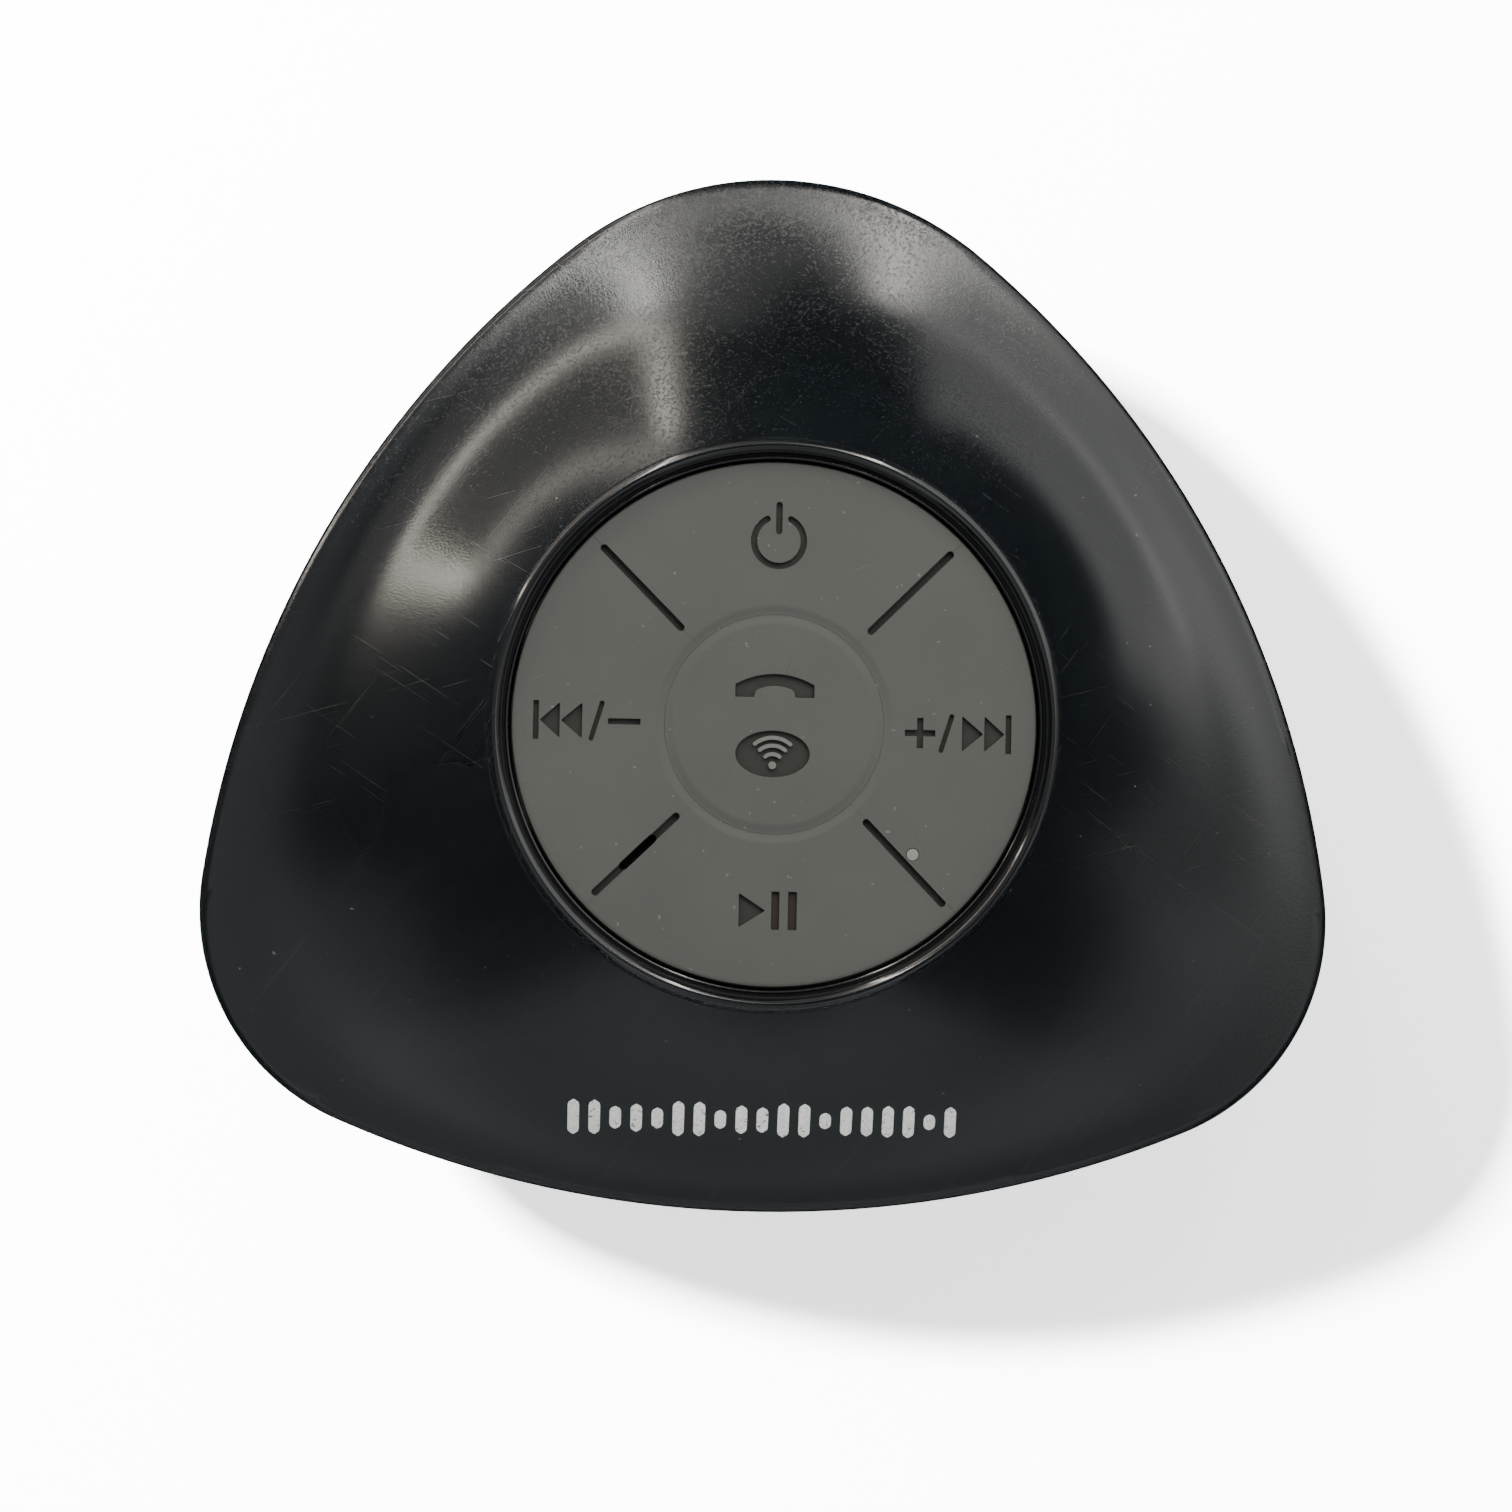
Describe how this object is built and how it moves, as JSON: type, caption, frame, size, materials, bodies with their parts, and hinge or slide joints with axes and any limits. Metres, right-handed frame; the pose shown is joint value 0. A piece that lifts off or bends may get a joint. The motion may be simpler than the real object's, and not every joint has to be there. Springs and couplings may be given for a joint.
{
  "type": "wireless shower speaker",
  "caption": "Palm-size wireless speaker with a flared three-sided shell, a round silicone hands-free keypad in a glossy ring and a suction cup foot.",
  "frame": {"origin": "on the surface that the suction cup stands on, under the middle of the outline", "axes": "+Z out of the keypad, +Y towards the apex of the three-sided face, +X to the right seen from the keypad"},
  "size_m": [0.0888, 0.0816, 0.0434],
  "materials": {
    "shell_black": "satin moulded, finely scuffed",
    "ring_gloss": "polished",
    "keypad_silicone": "matt moulded silicone",
    "light_lens": "translucent",
    "cup_rubber": "smooth",
    "seal_rubber": "satin",
    "foam": "open cell foam",
    "screw_steel": "zinc plated",
    "plated_steel": "nickel plated",
    "brass": "turned",
    "magnet_ferrite": "sintered",
    "frame_plastic": "moulded",
    "switch_plastic": "moulded",
    "board": "solder resist",
    "chip_epoxy": "moulded epoxy",
    "battery_foil": "laminated foil",
    "wire_insulation": "extruded",
    "cone_paper": "pressed paper",
    "copper": "enamelled wire",
    "mesh_fabric": "woven acoustic mesh"
  },
  "bodies": {
    "housing": {"acoustic_mesh": "mesh_fabric", "amplifier_chip": "chip_epoxy", "audio_chip": "chip_epoxy", "baffle_seal": "foam", "battery_cell": "battery_foil", "battery_leads": "wire_insulation", "battery_pad": "foam", "battery_socket": "frame_plastic", "bezel_ring": "ring_gloss", "board_screws": "screw_steel", "capacitors": "plated_steel", "carrier_screws": "screw_steel", "charge_leads": "wire_insulation", "charge_socket": "plated_steel", "control_board": "board", "cup_insert": "brass", "cup_screw": "screw_steel", "cup_washer": "screw_steel", "driver_baffle": "frame_plastic", "driver_basket": "frame_plastic", "driver_gasket": "foam", "driver_magnet": "magnet_ferrite", "driver_screws": "screw_steel", "driver_spider": "cone_paper", "driver_surround": "seal_rubber", "driver_terminal": "frame_plastic", "driver_top_plate": "plated_steel", "driver_yoke": "plated_steel", "front_shell": "shell_black", "housing_screws": "screw_steel", "keypad_carrier": "frame_plastic", "keypad_web": "keypad_silicone", "light_pipe": "light_lens", "microphone": "plated_steel", "microphone_boot": "seal_rubber", "port_board": "board", "port_board_screws": "screw_steel", "rear_shell": "shell_black", "shell_gasket": "seal_rubber", "socket_tongue": "frame_plastic", "speaker_leads": "wire_insulation", "status_led": "switch_plastic", "suction_cup": "cup_rubber", "switch_bodies": "switch_plastic", "wireless_module": "plated_steel"},
    "key_power": {"key_power": "keypad_silicone", "plunger_power": "switch_plastic"},
    "key_previous": {"key_previous": "keypad_silicone", "plunger_previous": "switch_plastic"},
    "key_next": {"key_next": "keypad_silicone", "plunger_next": "switch_plastic"},
    "key_play_pause": {"key_play_pause": "keypad_silicone", "plunger_play_pause": "switch_plastic"},
    "key_call": {"key_call": "keypad_silicone", "plunger_call": "switch_plastic"},
    "cone": {"driver_cone": "cone_paper", "driver_dust_cap": "cone_paper", "driver_coil": "copper"},
    "port_cover": {"port_cover": "seal_rubber"}
  },
  "joints": [
    {"name": "power_press", "type": "slide", "parent": "housing", "child": "key_power", "axis": [0, 0, -1], "range_m": [0, 0.00035], "stiffness_N_per_m": 4000},
    {"name": "previous_press", "type": "slide", "parent": "housing", "child": "key_previous", "axis": [0, 0, -1], "range_m": [0, 0.00035], "stiffness_N_per_m": 4000},
    {"name": "next_press", "type": "slide", "parent": "housing", "child": "key_next", "axis": [0, 0, -1], "range_m": [0, 0.00035], "stiffness_N_per_m": 4000},
    {"name": "play_pause_press", "type": "slide", "parent": "housing", "child": "key_play_pause", "axis": [0, 0, -1], "range_m": [0, 0.00035], "stiffness_N_per_m": 4000},
    {"name": "call_press", "type": "slide", "parent": "housing", "child": "key_call", "axis": [0, 0, -1], "range_m": [0, 0.00035], "stiffness_N_per_m": 4000},
    {"name": "cone_stroke", "type": "slide", "parent": "housing", "child": "cone", "axis": [0, 0, -1], "range_m": [-0.0004, 0.0004], "stiffness_N_per_m": 1500, "deforming": ["driver_surround", "driver_spider"]},
    {"name": "cover_hinge", "type": "hinge", "parent": "housing", "child": "port_cover", "pos_m": [0, -0.03774, 0.0169], "axis": [1, 0, 0], "range_deg": [0, 90], "stiffness_Nm_per_rad": 0.002}
  ]
}
